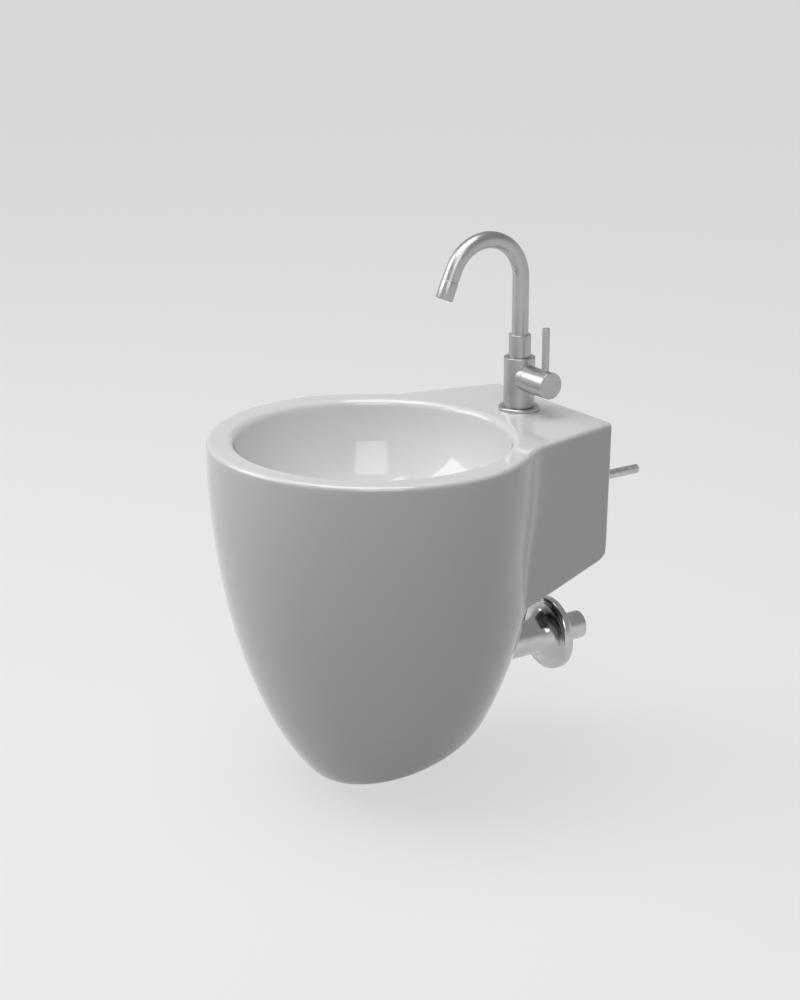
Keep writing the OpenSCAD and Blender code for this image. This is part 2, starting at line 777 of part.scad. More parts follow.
module valve_shell() {
    chamber_end = port_x + 3;
    color("goldenrod") at_lever() difference() {
        union() {
            translate([0, 0, disc_x]) cylinder(d = valve_d, h = shell_shoulder - disc_x);
            translate([0, 0, shell_shoulder]) cylinder(d = shoulder_d, h = shoulder_t);
            translate([0, 0, shell_shoulder]) cylinder(d = shell_neck_d, h = neck_end - shell_shoulder);
        }
        translate([0, 0, disc_x - cut]) cylinder(d = disc_d + 2 * run_gap, h = chamber_end - disc_x + cut);
        translate([0, 0, chamber_end]) cylinder(d = spindle_bore, h = hub_reach);
        translate([-valve_d, 0, port_x]) along_x() cylinder(d = port_d, h = 2 * valve_d);
    }
}

module valve_seat_seal() {
    color("dimgray") at_lever() translate([0, 0, valve_end]) tube(disc_d, disc_d * 0.6, seat_seal_t);
}

// Disc with two round ways through it, the pair turned by angle
module valve_disc(angle) {
    difference() {
        cylinder(d = disc_d, h = disc_t);
        rotate(angle) for (side = [-1, 1])
            translate([side * disc_d / 4, 0, -cut])
                cylinder(d = disc_d / 4, h = disc_t + 2 * cut, $fn = 32);
    }
}

module fixed_disc() {
    color("ivory") at_lever() translate([0, 0, disc_x]) valve_disc(90);
}

module turning_disc() {
    color("ivory") at_lever() translate([0, 0, disc_x + disc_t + run_gap]) valve_disc(0);
}

module valve_spindle() {
    driver_w = disc_d * 0.3;
    driver_l = disc_d * 0.8;
    color("goldenrod") at_lever() {
        translate([-driver_w / 2, -driver_l / 2, driver_x]) cube([driver_w, driver_l, driver_t]);
        translate([0, 0, driver_x]) cylinder(d = spindle_d, h = spindle_end - driver_x);
    }
}

module lever_hub() {
    chamfer = 0.6;
    color("silver") at_lever() difference() {
        rotate_extrude() polygon([[0, hub_start], [hub_d / 2, hub_start], [hub_d / 2, hub_reach - chamfer],
                                  [hub_d / 2 - chamfer, hub_reach], [0, hub_reach]]);
        translate([0, 0, hub_start - cut])
            cylinder(d = hub_d - 2 * hub_wall, h = web_start - hub_start + cut);
        translate([0, 0, web_start - cut])
            cylinder(d = spindle_d + 2 * fit_gap, h = spindle_end - web_start + cut + fit_gap);
        translate([0, 0, pin_x]) rotate([0, -90, 0]) cylinder(d = pin_thread_d + 2 * fit_gap, h = hub_d);
        translate([0, 0, screw_x]) rotate([0, 90, 0]) cylinder(d = hub_screw_d + 2 * fit_gap, h = hub_d);
    }
}

// The lever pin screws into the hub from above
module lever_pin() {
    foot = sqrt(pow(hub_d / 2, 2) - pow(lever_d / 2, 2));
    top = hub_d / 2 + lever_l;
    chamfer = 0.5;
    color("silver") at_tap() translate([pin_x, 0, lever_z]) difference() {
        rotate_extrude()
            polygon([[0, fit_gap], [pin_thread_d / 2, fit_gap], [pin_thread_d / 2, foot], [lever_d / 2, foot],
                     [lever_d / 2, top - chamfer], [lever_d / 2 - chamfer, top], [0, top]]);
        difference() {
            along_x() translate([0, 0, -lever_d]) cylinder(d = hub_d + 2 * fit_gap, h = 2 * lever_d);
            translate([0, 0, -cut]) cylinder(d = pin_thread_d, h = hub_d);
        }
    }
}

module hub_screw() {
    inner = spindle_d / 2 + fit_gap;
    screw_l = hub_d / 2 - hub_screw_sink - inner;
    key_af = 2;
    key_h = 2;
    color("dimgray") at_lever() translate([inner, 0, screw_x]) along_x() difference() {
        cylinder(d = hub_screw_d, h = screw_l);
        translate([0, 0, screw_l - key_h]) hex_prism(key_af, key_h + cut);
    }
}

// Spout: a bush with two O-rings turns in the collar and carries the tube

spout_bore = spout_d - 2 * spout_wall;
collar_bore = spout_d + 2 * run_gap;
collar_top = body_top + collar_h;
socket_z = body_top + 3;
ring_h = 3;
bush_top = collar_top - ring_h - 2 * face_gap;
bush_spigot = 10;
slide_ring_d = collar_bore + 2;
o_ring_t = 1.8;
o_ring_z = [socket_z + 4, socket_z + 9];
stop_rise = 14;
stop_z = socket_z + stop_rise;
stop_d = 3;
stop_depth = 0.7;
water_bore = spout_bore - 4;

module spout_collar() {
    color("silver") at_tap() difference() {
        union() {
            translate([0, 0, body_top - collar_spigot_h]) cylinder(d = collar_spigot_d, h = collar_spigot_h);
            translate([0, 0, body_top]) cylinder(d = collar_d, h = collar_h);
        }
        translate([0, 0, body_top - collar_spigot_h - cut]) cylinder(d = spout_bore, h = collar_h);
        translate([0, 0, socket_z]) cylinder(d = collar_bore, h = collar_h);
        translate([0, 0, collar_top - ring_h]) cylinder(d = slide_ring_d + 2 * fit_gap, h = ring_h + cut);
        translate([0, 0, stop_z]) along_y() cylinder(d = stop_d + 2 * fit_gap, h = collar_d);
    }
}

module spout_slide_ring() {
    color("white") at_tap()
        translate([0, 0, collar_top - ring_h]) tube(slide_ring_d, collar_bore, ring_h);
}

module spout_stop_screw() {
    start = spout_d / 2 - stop_depth;
    color("dimgray") at_tap() translate([0, start, stop_z])
        along_y() cylinder(d = stop_d, h = collar_d / 2 - face_gap - start);
}

module spout_bush() {
    groove_d = spout_d - 2 * o_ring_t;
    groove_w = o_ring_t * 1.3;
    color("goldenrod") at_tap() difference() {
        union() {
            translate([0, 0, socket_z + face_gap])
                cylinder(d = spout_d, h = bush_top - socket_z - face_gap);
            translate([0, 0, bush_top]) cylinder(d = spout_bore - 2 * fit_gap, h = bush_spigot);
        }
        translate([0, 0, socket_z - cut]) cylinder(d = water_bore, h = collar_h + bush_spigot);
        for (z = o_ring_z) translate([0, 0, z - groove_w / 2]) tube(spout_d + cut, groove_d, groove_w);
        translate([0, 0, stop_z - stop_d / 2 - face_gap])
            tube(spout_d + cut, spout_d - 2 * stop_depth - 2 * face_gap, stop_d + 2 * face_gap);
    }
}

module spout_o_rings() {
    color("dimgray") at_tap() for (z = o_ring_z) translate([0, 0, z])
        rotate_extrude() translate([spout_d / 2 - o_ring_t / 2, 0]) circle(d = o_ring_t, $fn = 32);
}

// Path of the bent tube: up, and over in an arc towards the user
module spout_rod(d, from, sweep) {
    at_tap() {
        translate([0, 0, from]) cylinder(d = d, h = bend_z - from);
        translate([0, -bend_r, bend_z]) rotate([0, 90, 0]) rotate([0, 0, 90])
            rotate_extrude(angle = sweep) translate([bend_r, 0]) circle(d = d, $fn = 64);
    }
}

// Frame at the end of the arc, with +z pointing back along the spout
module at_spout_end() {
    a = bend_sweep;
    at_tap() translate([0, -bend_r + bend_r * cos(a), bend_z + bend_r * sin(a)])
        rotate([a - 180, 0, 0]) children();
}

module spout_tube() {
    color("silver") difference() {
        spout_rod(spout_d, bush_top, bend_sweep);
        spout_rod(spout_bore, bush_top - cut, bend_sweep + cut);
    }
}

aerator_spigot = 6;

// Turned end of the spout, brazed to the bent tube, that the aerator screws into
module spout_end_piece() {
    // The spigot is thin and short, since it stands in the bend
    spigot_d = spout_bore - 2 * face_gap;
    spigot_h = 3;
    socket_h = aerator_spigot + face_gap;
    color("silver") at_spout_end() difference() {
        union() {
            translate([0, 0, -spout_end]) cylinder(d = spout_d, h = spout_end);
            cylinder(d = spigot_d, h = spigot_h);
        }
        translate([0, 0, -spout_end - cut]) cylinder(d = spout_bore, h = socket_h + cut);
        translate([0, 0, -spout_end]) cylinder(d = water_bore, h = spout_end + spigot_h + cut);
    }
}

insert_d = spout_bore + 1;
insert_top = aerator_l - 4.5;
aerator_seal_t = 1.5;

module at_aerator() { at_spout_end() translate([0, 0, -spout_end - aerator_l]) children(); }

module aerator_housing() {
    chamfer = 0.5;
    outer_r = aerator_d / 2;
    color("silver") at_aerator() difference() {
        union() {
            rotate_extrude() polygon([[0, 0], [outer_r - chamfer, 0], [outer_r, chamfer],
                                      [outer_r, aerator_l - chamfer], [outer_r - chamfer, aerator_l],
                                      [0, aerator_l]]);
            translate([0, 0, aerator_l]) cylinder(d = spout_bore - 2 * fit_gap, h = aerator_spigot);
        }
        translate([0, 0, -cut]) cylinder(d = insert_d + 2 * fit_gap, h = insert_top + aerator_seal_t + cut);
        translate([0, 0, -cut]) cylinder(d = water_bore, h = aerator_l + aerator_spigot + 2 * cut);
    }
}

module aerator_seal() {
    color("dimgray") at_aerator() translate([0, 0, insert_top]) tube(insert_d, water_bore, aerator_seal_t);
}

module aerator_insert() {
    foot = 1;
    floor_t = 3;
    hole_d = 2;
    hole_circle_r = insert_d * 0.3;
    color("dimgray") at_aerator() translate([0, 0, foot]) difference() {
        cylinder(d = insert_d, h = insert_top - foot);
        translate([0, 0, floor_t]) cylinder(d = water_bore, h = aerator_l);
        translate([0, 0, -cut]) cylinder(d = hole_d, h = floor_t + 2 * cut, $fn = 24);
        for (i = [0:aerator_holes - 1]) rotate(i * 360 / aerator_holes)
            translate([hole_circle_r, 0, -cut]) cylinder(d = hole_d, h = floor_t + 2 * cut, $fn = 24);
    }
}

basin_body();
wall_bolts();
bolt_sleeves();
bolt_washers();
bolt_nuts();
strainer_plate();
waste_screw();
waste_upper_seal();
waste_lower_seal();
waste_tail();
trap_inlet_seal();
trap_inlet_nut();
trap_inlet_tube();
trap_head_seal();
trap_head_nut();
trap_body();
trap_cup_seal();
trap_cup();
drain_plug_seal();
drain_plug();
trap_outlet_seal();
trap_outlet_nut();
outlet_pipe();
wall_rosette();
tap_base_seal();
tap_base_ring();
tap_body();
tap_shank();
tap_grip_washer();
tap_clamp_plate();
tap_lock_nut();
valve_shell();
valve_seat_seal();
fixed_disc();
turning_disc();
valve_spindle();
lever_hub();
lever_pin();
hub_screw();
spout_collar();
spout_slide_ring();
spout_stop_screw();
spout_bush();
spout_o_rings();
spout_tube();
spout_end_piece();
aerator_housing();
aerator_seal();
aerator_insert();
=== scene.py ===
# Wall-hung hand basin: the glazed ceramic, the satin tap and the chromed waste,
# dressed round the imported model. Lengths in the making of a piece are millimetres.
import json
import math
import bpy
import bmesh
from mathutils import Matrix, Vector


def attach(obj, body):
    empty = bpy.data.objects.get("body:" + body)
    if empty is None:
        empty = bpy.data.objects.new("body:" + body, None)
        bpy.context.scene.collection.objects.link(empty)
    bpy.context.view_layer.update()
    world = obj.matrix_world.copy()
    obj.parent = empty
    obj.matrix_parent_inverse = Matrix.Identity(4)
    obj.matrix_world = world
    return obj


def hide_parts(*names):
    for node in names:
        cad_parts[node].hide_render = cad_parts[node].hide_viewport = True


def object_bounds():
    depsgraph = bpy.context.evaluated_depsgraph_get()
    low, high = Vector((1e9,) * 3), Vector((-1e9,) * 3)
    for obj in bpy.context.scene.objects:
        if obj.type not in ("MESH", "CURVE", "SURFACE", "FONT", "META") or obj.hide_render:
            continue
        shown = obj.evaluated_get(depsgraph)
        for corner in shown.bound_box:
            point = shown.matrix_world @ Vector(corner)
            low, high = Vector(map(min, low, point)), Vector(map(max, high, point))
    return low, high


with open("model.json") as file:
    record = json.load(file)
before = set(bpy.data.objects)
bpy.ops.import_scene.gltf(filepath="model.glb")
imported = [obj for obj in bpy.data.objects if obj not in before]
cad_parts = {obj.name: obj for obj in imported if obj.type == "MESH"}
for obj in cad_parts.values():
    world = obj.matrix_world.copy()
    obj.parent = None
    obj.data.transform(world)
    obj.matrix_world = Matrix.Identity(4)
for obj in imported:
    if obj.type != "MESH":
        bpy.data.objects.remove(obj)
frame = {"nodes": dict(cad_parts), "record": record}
cad_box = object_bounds()
nodes = frame["nodes"]

MM = 0.001


# Places, as in the part's source

RIM_Z = 70.0
AXIS_Y = -236.0
BOWL_Y = -242.0
TAP_Y = -50.0
OUTLET_Z = -200.0
EGG_R = 180.0
EGG_DEPTH = 406.0
CERAMIC_T = 9.0
BACK_T = 12.0
RIM_T = 12.0
MOUTH_R = 145.5
BOWL_DEPTH = 130.0
BOWL_FULLNESS = 2.3
LEDGE_HALF = 100.0
LEDGE_TAPER = math.radians(12.6)
LEDGE_H = 153.0
LEDGE_RISE = math.radians(11.0)
LEDGE_ROUND = 14.0
END_DROP = 342.0
END_TILT = math.radians(19.0)
END_DOME = 14.5
END_HOLE_R = 38.0


# Working in edit mode

def nothing_selected():
    if bpy.context.object and bpy.context.object.mode != "OBJECT":
        bpy.ops.object.mode_set(mode="OBJECT")
    bpy.ops.object.select_all(action="DESELECT")


def only(obj):
    nothing_selected()
    obj.select_set(True)
    bpy.context.view_layer.objects.active = obj


def finished(obj, name, body, slot, *replaced, angle=35):
    """Names a piece, puts its place in its mesh, and lets it ride."""
    only(obj)
    bpy.ops.object.transform_apply(location=True, rotation=True, scale=True)
    bpy.ops.object.shade_smooth_by_angle(angle=math.radians(angle))
    obj.name = name
    obj.data.name = name
    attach(obj, body)
    if replaced:
        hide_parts(*replaced)
    return obj


def apply_modifier(obj, kind, **values):
    only(obj)
    bpy.ops.object.modifier_add(type=kind)
    mod = obj.modifiers[-1]
    for key, value in values.items():
        setattr(mod, key, value)
    bpy.ops.object.modifier_apply(modifier=mod.name)


def cut_away(obj, cutter, operation="DIFFERENCE"):
    apply_modifier(obj, "BOOLEAN", object=cutter, operation=operation, solver="EXACT")
    only(cutter)
    bpy.ops.object.delete()
    only(obj)


def turned(rings, closed=False, segments=96):
    """A ring of points drawn out along z through (radius, height) pairs, as on a lathe."""
    nothing_selected()
    first_r, first_z = rings[0]
    bpy.ops.mesh.primitive_circle_add(vertices=segments, radius=first_r * MM, location=(0, 0, 0))
    obj = bpy.context.object
    bpy.ops.object.mode_set(mode="EDIT")
    bpy.ops.mesh.select_mode(type="VERT")
    bpy.ops.mesh.select_all(action="SELECT")
    bpy.ops.transform.translate(value=(0, 0, first_z * MM))
    if not closed:
        bpy.ops.mesh.edge_face_add()
        bpy.ops.mesh.select_mode(type="EDGE")
    r, z = first_r, first_z
    for next_r, next_z in rings[1:]:
        bpy.ops.mesh.extrude_edges_move(TRANSFORM_OT_translate={"value": (0, 0, (next_z - z) * MM)})
        if abs(next_r - r) > 1e-6:
            grow = next_r / r
            bpy.ops.transform.resize(value=(grow, grow, 1), center_override=(0, 0, next_z * MM))
        r, z = next_r, next_z
    if not closed:
        bpy.ops.mesh.edge_face_add()
    bpy.ops.mesh.select_all(action="SELECT")
    bpy.ops.mesh.remove_doubles(threshold=1e-6)
    bpy.ops.mesh.normals_make_consistent(inside=False)
    bpy.ops.object.mode_set(mode="OBJECT")
    return obj


def place(obj, x, y, z, turn_x=0.0, turn_y=0.0):
    obj.rotation_euler = (turn_x, turn_y, 0)
    obj.location = (x * MM, y * MM, z * MM)
    only(obj)
    bpy.ops.object.transform_apply(location=True, rotation=True, scale=True)
    return obj


def rounded(cx, cz, r, start, end, steps):
    """Rings round an edge, from angle start to end in degrees."""
    rings = []
    for i in range(steps + 1):
        a = math.radians(start + (end - start) * i / steps)
        rings.append((cx + r * math.cos(a), cz + r * math.sin(a)))
    return rings


# Finishes

def new_material(name, colour, roughness, metallic=0.0):
    mat = bpy.data.materials.new(name)
    mat.use_nodes = True
    tree = mat.node_tree
    shader = tree.nodes["Principled BSDF"]
    shader.inputs["Base Color"].default_value = (*colour, 1)
    shader.inputs["Roughness"].default_value = roughness
    shader.inputs["Metallic"].default_value = metallic
    place_node = tree.nodes.new("ShaderNodeTexCoord")
    return mat, tree, shader, place_node


def noise(tree, place_node, scale, stretch=(1, 1, 1), detail=3.0):
    mapping = tree.nodes.new("ShaderNodeMapping")
    mapping.inputs["Scale"].default_value = stretch
    tex = tree.nodes.new("ShaderNodeTexNoise")
    tex.inputs["Scale"].default_value = scale
    tex.inputs["Detail"].default_value = detail
    tree.links.new(place_node.outputs["Object"], mapping.inputs["Vector"])
    tree.links.new(mapping.outputs["Vector"], tex.inputs["Vector"])
    return tex.outputs["Fac"]


def ranged(tree, value, low, high):
    node = tree.nodes.new("ShaderNodeMapRange")
    node.inputs["From Min"].default_value = 0.3
    node.inputs["From Max"].default_value = 0.7
    node.inputs["To Min"].default_value = low
    node.inputs["To Max"].default_value = high
    tree.links.new(value, node.inputs["Value"])
    return node.outputs["Result"]


def tinted(tree, value, dark, light):
    node = tree.nodes.new("ShaderNodeMix")
    node.data_type = "RGBA"
    node.inputs[6].default_value = (*dark, 1)
    node.inputs[7].default_value = (*light, 1)
    tree.links.new(value, node.inputs[0])
    return node.outputs[2]


def bumped(tree, shader, value, strength, distance):
    node = tree.nodes.new("ShaderNodeBump")
    node.inputs["Strength"].default_value = strength
    node.inputs["Distance"].default_value = distance
    tree.links.new(value, node.inputs["Height"])
    tree.links.new(node.outputs["Normal"], shader.inputs["Normal"])


def plain_finish(name, dark, light, rough, metallic=0.0, scale=60.0, stretch=(1, 1, 1),
                 bump=0.0, depth=0.0002):
    """A finish whose colour and roughness drift a little over the surface."""
    mat, tree, shader, where = new_material(name, light, rough[0], metallic)
    drift = noise(tree, where, scale, stretch)
    tree.links.new(tinted(tree, ranged(tree, drift, 0, 1), dark, light), shader.inputs["Base Color"])
    tree.links.new(ranged(tree, drift, *rough), shader.inputs["Roughness"])
    if bump:
        bumped(tree, shader, drift, bump, depth)
    return mat


def glaze_finish():
    mat, tree, shader, where = new_material("white_glaze", (0.8, 0.8, 0.79), 0.12)
    drift = noise(tree, where, 6.0, detail=2.0)
    tree.links.new(tinted(tree, ranged(tree, drift, 0, 1), (0.79, 0.79, 0.78), (0.82, 0.82, 0.81)),
                   shader.inputs["Base Color"])
    tree.links.new(ranged(tree, noise(tree, where, 40.0), 0.07, 0.12), shader.inputs["Roughness"])
    shader.inputs["Coat Weight"].default_value = 0.6
    shader.inputs["Coat Roughness"].default_value = 0.03
    bumped(tree, shader, noise(tree, where, 55.0, detail=1.0), 0.04, 0.0004)
    return mat


def satin_finish(name, stretch, light=0.52, dark=0.48):
    """Brushed metal: fine streaks in the roughness."""
    mat, tree, shader, where = new_material(name, (light, light, light), 0.3, 1.0)
    streak = noise(tree, where, 2600.0, stretch, detail=2.0)
    drift = noise(tree, where, 18.0, detail=1.0)
    tint = tinted(tree, ranged(tree, drift, 0, 1),
                  (dark, dark, dark * 0.99), (light, light, light * 0.99))
    tree.links.new(tint, shader.inputs["Base Color"])
    tree.links.new(ranged(tree, streak, 0.335, 0.35), shader.inputs["Roughness"])
    return mat


GLAZE = glaze_finish()
SATIN = satin_finish("satin_metal_upright", (1, 1, 0.05))
SATIN_LEVER = satin_finish("satin_metal_level", (0.05, 1, 1))
CHROME = plain_finish("polished_chrome", (0.57, 0.57, 0.58), (0.63, 0.63, 0.64), (0.15, 0.20),
                      metallic=1.0, scale=90.0)
BRASS = plain_finish("machined_brass", (0.56, 0.40, 0.18), (0.70, 0.53, 0.27), (0.25, 0.40),
                     metallic=1.0, scale=400.0, stretch=(1, 1, 0.1), bump=0.1)
ZINC = plain_finish("zinc_plate", (0.52, 0.53, 0.55), (0.66, 0.67, 0.69), (0.30, 0.48),
                    metallic=1.0, scale=220.0, bump=0.08)
RUBBER = plain_finish("black_rubber", (0.025, 0.025, 0.026), (0.05, 0.05, 0.05), (0.55, 0.75),
                      scale=500.0, bump=0.2)
WHITE_PLASTIC = plain_finish("white_plastic", (0.74, 0.74, 0.72), (0.80, 0.80, 0.78), (0.35, 0.5),
                             scale=300.0, bump=0.1)
GREY_PLASTIC = plain_finish("grey_plastic", (0.16, 0.16, 0.17), (0.22, 0.22, 0.23), (0.35, 0.5),
                            scale=300.0, bump=0.1)
DISC_CERAMIC = plain_finish("lapped_ceramic", (0.80, 0.78, 0.73), (0.86, 0.85, 0.81), (0.12, 0.2),
                            scale=150.0)
SLOT_FINISH = {"ceramic": GLAZE, "satin_metal": SATIN, "chrome": CHROME, "brass": BRASS,
               "zinc_steel": ZINC, "rubber": RUBBER, "plastic": WHITE_PLASTIC,
               "plastic_grey": GREY_PLASTIC, "sealing_ceramic": DISC_CERAMIC}

for part in frame["record"]["subparts"]:
    mesh = nodes[part["node"]].data
    mesh.materials.clear()
    mesh.materials.append(SLOT_FINISH[part["material_slot"]])


def painted(obj, mat):
    obj.data.materials.clear()
    obj.data.materials.append(mat)
    return obj


# The ceramic: one cage of rings, each ring with the same number of columns.
# A column keeps to its place on the wall face, the ledge's side, the strip
# where the ledge meets the egg, or the egg, at every height.

HALF_COLUMNS = 62
CORNER = 8
CREASE = 19
CORNER_REACH = 6.5
DRAFT_TOP = -1.5
DRAFT = 0.03
WAIST = 0.05
WAIST_START, WAIST_FADE = 110.0, 90.0
WAIST_SPREAD = math.radians(38)
# Widths of the strip on the ledge's side and on the egg, at the top and from STRIP_LOW down
STRIP_SIDE = (7.5, 4.5)
STRIP_EGG = (17.0, 5.0)
STRIP_LOW = 175.0
STRIP_EDGE = 0.9
# The strip is flat down to FLAT_END and turns into a crease over FLAT_FADE
FLAT_END, FLAT_FADE = 120.0, 50.0
# Distances from the back corner of the first columns on the ledge's side
SIDE_STATIONS = [11.0, 16.0, 22.0]
BRIM_ROUND = 5.0
MOUTH_ROUND = 8.0
FIRST_BELOW_BRIM = 10.0
# (radius, depth) of rings about the bowl's axis: the drain with the strainer's seat, and its boss
DRAIN_RINGS = [(23, 143.4), (23, 139), (23, 134), (23.6, 133), (27, 133), (31.4, 133), (32, 132.3),
               (32, 129.6), (32.6, 128.8), (34.2, 128.0)]
BOSS_RINGS = [(40, 137), (40, 143.4), (39.4, 144), (31, 144), (23.6, 144)]
# Angles of the rings up the bowl, over its underside and round the brim
BOWL_STEPS = [78, 72, 65, 58, 51, 44, 37, 30, 23, 16, 10, 5.5]
BOWL_BACK_STEPS = [12, 22, 34, 46, 58, 68, 76]
BRIM_STEPS = [90, 67.5, 45, 22.5, 0]
# Shares of the way across the top, down the side, down the egg and in to the hole
TOP_STEPS = [0.1, 0.35, 0.65, 0.9]
SIDE_STEPS = [0, 0.07, 0.16, 0.25, 0.34, 0.43, 0.52, 0.61, 0.70, 0.79, 0.88, 0.955, 1]
EGG_STEPS = [0, 0.045, 0.13, 0.23, 0.33, 0.43, 0.53, 0.63, 0.73, 0.83, 0.91, 0.97]
END_STEPS = [0.03, 0.12, 0.28, 0.5, 0.74, 0.92]
# (rise, radius) of the rings in the hole's edge
HOLE_RINGS = [(0.4, END_HOLE_R + 0.6), (2.0, END_HOLE_R), (7.4, END_HOLE_R)]
# The same shares on the inner face, which is followed back up
INNER_END_STEPS = [0.94, 0.6, 0.25]
INNER_EGG_STEPS = [0.95, 0.75, 0.5, 0.25, 0.05, 0]
INNER_SIDE_STEPS = [1, 0.95, 0.75, 0.5, 0.25, 0.06, 0]
BOLT_HOLE_R = 8.0
BOLT_X = 70.0
SLOT_R = 30.0
SLOT_BACK = 12.0
TAP_HOLE_R = 17.5


def eased(x):
    x = min(1.0, max(0.0, x))
    return x * x * (3 - 2 * x)


def egg_r(depth, r=EGG_R, h=EGG_DEPTH):
    return r * math.sqrt(max(0.0, 1 - (depth / h) ** 2))


def bowl_r(depth, r=MOUTH_R, h=BOWL_DEPTH):
    return r * max(0.0, 1 - (depth / h) ** BOWL_FULLNESS) ** (1 / BOWL_FULLNESS)


def waist(depth):
    """Share by which the egg is drawn in beside the ledge, fading out below it."""
    return WAIST * (1 - eased((depth - WAIST_START) / WAIST_FADE))


def on_egg(r, a, depth):
    """Place on the egg's outline in direction a, counted from the wall."""
    r *= 1 - waist(depth) * eased((math.radians(90) - a) / WAIST_SPREAD)
    return r * math.sin(a), AXIS_Y + r * math.cos(a)


def ledge_half(depth, side_in):
    return LEDGE_HALF - DRAFT_TOP - DRAFT * depth - side_in / math.cos(LEDGE_TAPER)


def crease_angle(r, depth, side_in):
    half = ledge_half(depth, side_in)
    reach = (half - AXIS_Y * math.tan(LEDGE_TAPER)) * math.cos(LEDGE_TAPER)
    return math.asin(reach / (r * (1 - waist(depth)))) - LEDGE_TAPER


def strip(depth):
    """Widths of the strip on the ledge's side and on the egg."""
    low = eased(depth / STRIP_LOW)
    return tuple(top + (foot - top) * low for top, foot in (STRIP_SIDE, STRIP_EGG))


def toward(p, q, w):
    return tuple(a + (b - a) * w for a, b in zip(p, q))


def on_corner(corner, w):
    """Place on the rounded corner, w of the way from the wall face to the side."""
    half = math.radians(45) + LEDGE_TAPER / 2
    r = CORNER_REACH * math.tan(half)
    centre = (corner[0] - CORNER_REACH, corner[1] - r)
    a = math.radians(90) - (math.radians(90) - LEDGE_TAPER) * w
    return centre[0] + r * math.cos(a), centre[1] + r * math.sin(a)


def on_outline(k, r, depth, side_in, back_in):
    """Place of half-column k on the outline seen from above, r being the egg's radius."""
    angle = crease_angle(r, depth, side_in)
    half = ledge_half(depth, side_in)
    corner = (half + back_in * math.tan(LEDGE_TAPER), -back_in)
    joint = on_egg(r, angle, depth)
    near_side, near_egg = strip(depth)
    run = math.hypot(joint[0] - corner[0], joint[1] - corner[1])
    # Wall face, and the rounded corner to the side
    if k <= CORNER - 2:
        return (corner[0] - CORNER_REACH) * k / (CORNER - 2), -back_in
    if k <= CORNER + 2:
        return on_corner(corner, (k - CORNER + 2) / 4)
    # Ledge's side
    if k < CREASE - 1:
        i = k - CORNER - 3
        if i < len(SIDE_STATIONS):
            return toward(corner, joint, SIDE_STATIONS[i] / run)
        reached = SIDE_STATIONS[-1]
        steps = CREASE - CORNER - 3 - len(SIDE_STATIONS)
        far = run - near_side - STRIP_EDGE
        s = reached + (far - reached) * (i - len(SIDE_STATIONS) + 1) / steps
        return toward(corner, joint, s / run)
    # Strip between the side and the egg
    start = angle + near_egg / r
    if k <= CREASE + 1:
        side_edge = toward(corner, joint, 1 - near_side / run)
        egg_edge = on_egg(r, start, depth)
        flat = 1 - eased((depth - FLAT_END) / FLAT_FADE)
        middle = toward(joint, toward(side_edge, egg_edge, 0.5), flat)
        if k == CREASE:
            return middle
        edge = side_edge if k < CREASE else egg_edge
        return toward(edge, middle, STRIP_EDGE / math.hypot(middle[0] - edge[0], middle[1] - edge[1]))
    # Egg, round to its front
    start += STRIP_EDGE / r
    a = start + (math.pi - start) * (k - CREASE - 2) / (HALF_COLUMNS - CREASE - 2)
    return on_egg(r, a, depth)


def ledge_drop(y):
    """Depth of the ledge's underside below the rim, rounded up at the wall."""
    drop = LEDGE_H - y * math.tan(LEDGE_RISE)
    if y > -LEDGE_ROUND:
        centre = LEDGE_H + LEDGE_ROUND * (math.tan(LEDGE_RISE) - 1 / math.cos(LEDGE_RISE))
        drop = min(drop, centre + math.sqrt(max(0.0, LEDGE_ROUND ** 2 - (y + LEDGE_ROUND) ** 2)))
    return drop


def underside_depth(k, r, h, side_in, back_in):
    """Depth at which half-column k meets the ledge's underside."""
    column = min(k, CREASE)
    depth = LEDGE_H
    for _ in range(30):
        depth = ledge_drop(on_outline(column, egg_r(depth, r, h), depth, side_in, back_in)[1])
    return depth


def egg_angle(k, r, depth, side_in):
    """Direction of half-column k on the egg below the ledge."""
    crease = crease_angle(r, depth, side_in)
    if k <= CREASE:
        return crease * k / CREASE
    start = crease + strip(depth)[1] / r
    if k == CREASE + 1:
        return start - STRIP_EDGE / r
    start += STRIP_EDGE / r
    return start + (math.pi - start) * (k - CREASE - 2) / (HALF_COLUMNS - CREASE - 2)


